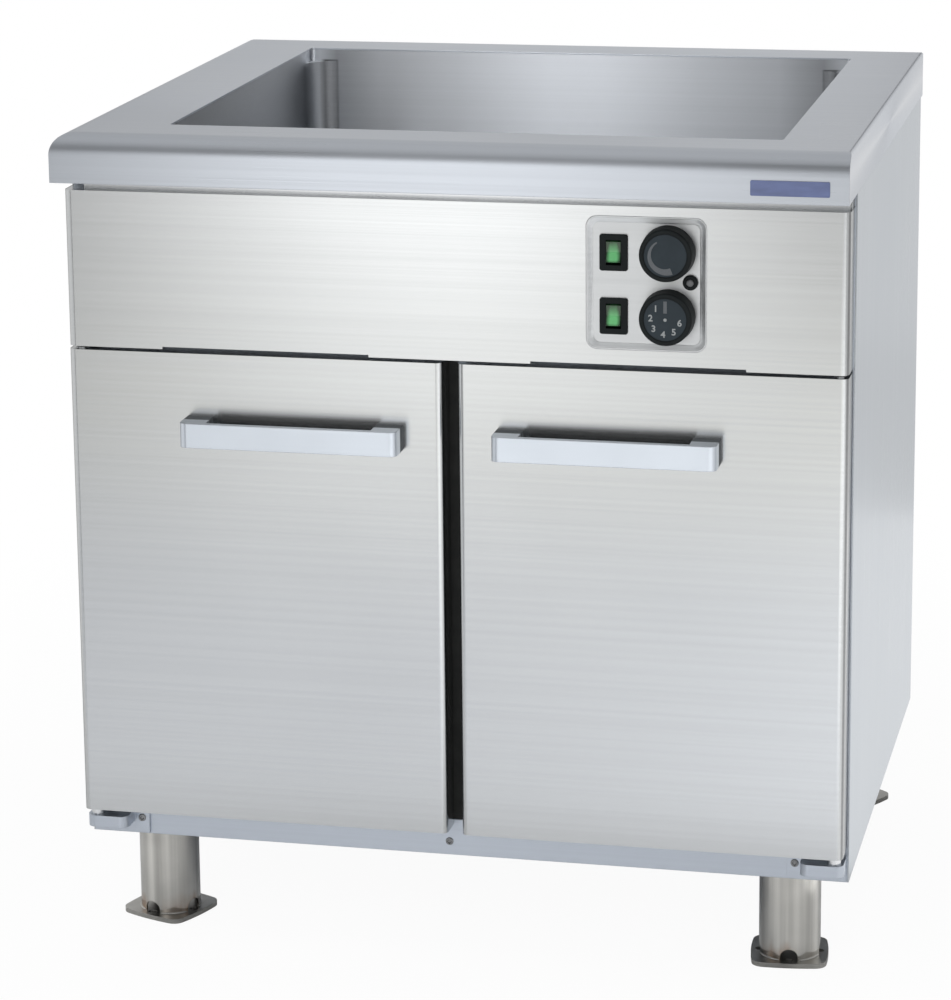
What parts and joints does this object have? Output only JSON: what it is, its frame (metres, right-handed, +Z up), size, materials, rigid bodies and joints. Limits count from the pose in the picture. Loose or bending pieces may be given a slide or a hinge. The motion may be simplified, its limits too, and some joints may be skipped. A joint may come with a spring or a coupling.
{
  "type": "bain marie",
  "caption": "Stainless floor-standing bain-marie: a heated water well in a worktop over a heated cupboard with hinged doors, dial controls and tube legs on bolted feet.",
  "frame": {"origin": "on the floor under the middle of the overall box", "axes": "+X to the right as seen from the front, +Y to the back, +Z up; the doors face -Y"},
  "size_m": [0.8, 0.7, 0.86],
  "materials": {
    "worktop_steel": "fine brushed along the front",
    "well_steel": "satin, deep drawn",
    "front_steel": "fine brushed, bright",
    "panel_steel": "fine brushed, upright",
    "control_steel": "satin",
    "frame_steel": "satin",
    "liner_steel": "satin",
    "hidden_steel": "mill finish",
    "leg_steel": "polished tube",
    "pipe_steel": "polished",
    "pin_steel": "turned",
    "drain_chrome": "plated",
    "element_sheath": "heat darkened",
    "mineral_wool": "loose fibre",
    "handle_aluminium": "satin anodised",
    "knob_black": "moulded, printed scale",
    "switch_black": "moulded",
    "rocker_green": "clear green, lit",
    "thermostat_body": "ceramic coloured",
    "black_cap": "moulded",
    "reset_pin": "moulded",
    "blue_badge": "plain blue enamel",
    "grey_gland": "moulded",
    "terminal_plastic": "moulded",
    "bush_plastic": "turned",
    "seal_rubber": "extruded"
  },
  "bodies": {
    "cabinet": {"worktop": "worktop_steel", "well_tank": "well_steel", "drain_fitting": "drain_chrome", "drain_pipe": "pipe_steel", "well_heater": "element_sheath", "insulation_tray": "hidden_steel", "insulation": "mineral_wool", "side_panel_left": "panel_steel", "side_panel_right": "panel_steel", "back_panel": "panel_steel", "bottom_panel": "hidden_steel", "front_frame": "frame_steel", "cabinet_liner": "liner_steel", "cabinet_heater": "element_sheath", "shelf": "liner_steel", "shelf_rails": "liner_steel", "fascia": "front_steel", "control_panel": "control_steel", "limit_thermostat": "black_cap", "badge_plate": "blue_badge", "cable_gland": "grey_gland", "terminal_block": "terminal_plastic", "hinge_brackets": "frame_steel", "hinge_pins": "pin_steel", "centre_stop": "frame_steel", "mullion_seal": "seal_rubber", "switch_housing_upper": "switch_black", "thermostat_upper": "thermostat_body", "switch_housing_lower": "switch_black", "thermostat_lower": "thermostat_body", "leg_front_left": "leg_steel", "foot_flange_front_left": "leg_steel", "leg_front_right": "leg_steel", "foot_flange_front_right": "leg_steel", "leg_back_left": "leg_steel", "foot_flange_back_left": "leg_steel", "leg_back_right": "leg_steel", "foot_flange_back_right": "leg_steel"},
    "left_door": {"door_skin_left": "front_steel", "door_liner_left": "liner_steel", "door_core_left": "mineral_wool", "door_gasket_left": "seal_rubber", "hinge_bushes_left": "bush_plastic", "handle_left": "handle_aluminium"},
    "right_door": {"door_skin_right": "front_steel", "door_liner_right": "liner_steel", "door_core_right": "mineral_wool", "door_gasket_right": "seal_rubber", "hinge_bushes_right": "bush_plastic", "handle_right": "handle_aluminium"},
    "upper_rocker": {"rocker_upper": "rocker_green"},
    "upper_knob": {"knob_upper": "knob_black", "spindle_upper": "pin_steel"},
    "lower_rocker": {"rocker_lower": "rocker_green"},
    "lower_knob": {"knob_lower": "knob_black", "spindle_lower": "pin_steel"},
    "reset": {"reset_button": "reset_pin"},
    "overflow_pipe": {"standpipe": "pipe_steel"}
  },
  "joints": [
    {"name": "left_door_hinge", "type": "hinge", "parent": "cabinet", "child": "left_door", "pos_m": [-0.3875, -0.2985, 0.386], "axis": [0, 0, -1], "range_deg": [0, 110]},
    {"name": "right_door_hinge", "type": "hinge", "parent": "cabinet", "child": "right_door", "pos_m": [0.3875, -0.2985, 0.386], "axis": [0, 0, 1], "range_deg": [0, 110]},
    {"name": "upper_rocker_tilt", "type": "hinge", "parent": "cabinet", "child": "upper_rocker", "pos_m": [0.166, -0.31, 0.75155], "axis": [1, 0, 0], "range_deg": [0, 16]},
    {"name": "upper_knob_turn", "type": "hinge", "parent": "cabinet", "child": "upper_knob", "pos_m": [0.22, -0.3225, 0.75325], "axis": [0, 1, 0], "range_deg": [0, 270]},
    {"name": "lower_rocker_tilt", "type": "hinge", "parent": "cabinet", "child": "lower_rocker", "pos_m": [0.166, -0.31, 0.68805], "axis": [1, 0, 0], "range_deg": [0, 16]},
    {"name": "lower_knob_turn", "type": "hinge", "parent": "cabinet", "child": "lower_knob", "pos_m": [0.22, -0.3225, 0.68975], "axis": [0, 1, 0], "range_deg": [0, 270]},
    {"name": "reset_push", "type": "slide", "parent": "cabinet", "child": "reset", "axis": [0, 1, 0], "range_m": [0, 0.003], "stiffness_N_per_m": 600},
    {"name": "overflow_lift", "type": "slide", "parent": "cabinet", "child": "overflow_pipe", "axis": [0, 0, 1], "range_m": [0, 0.25]}
  ]
}
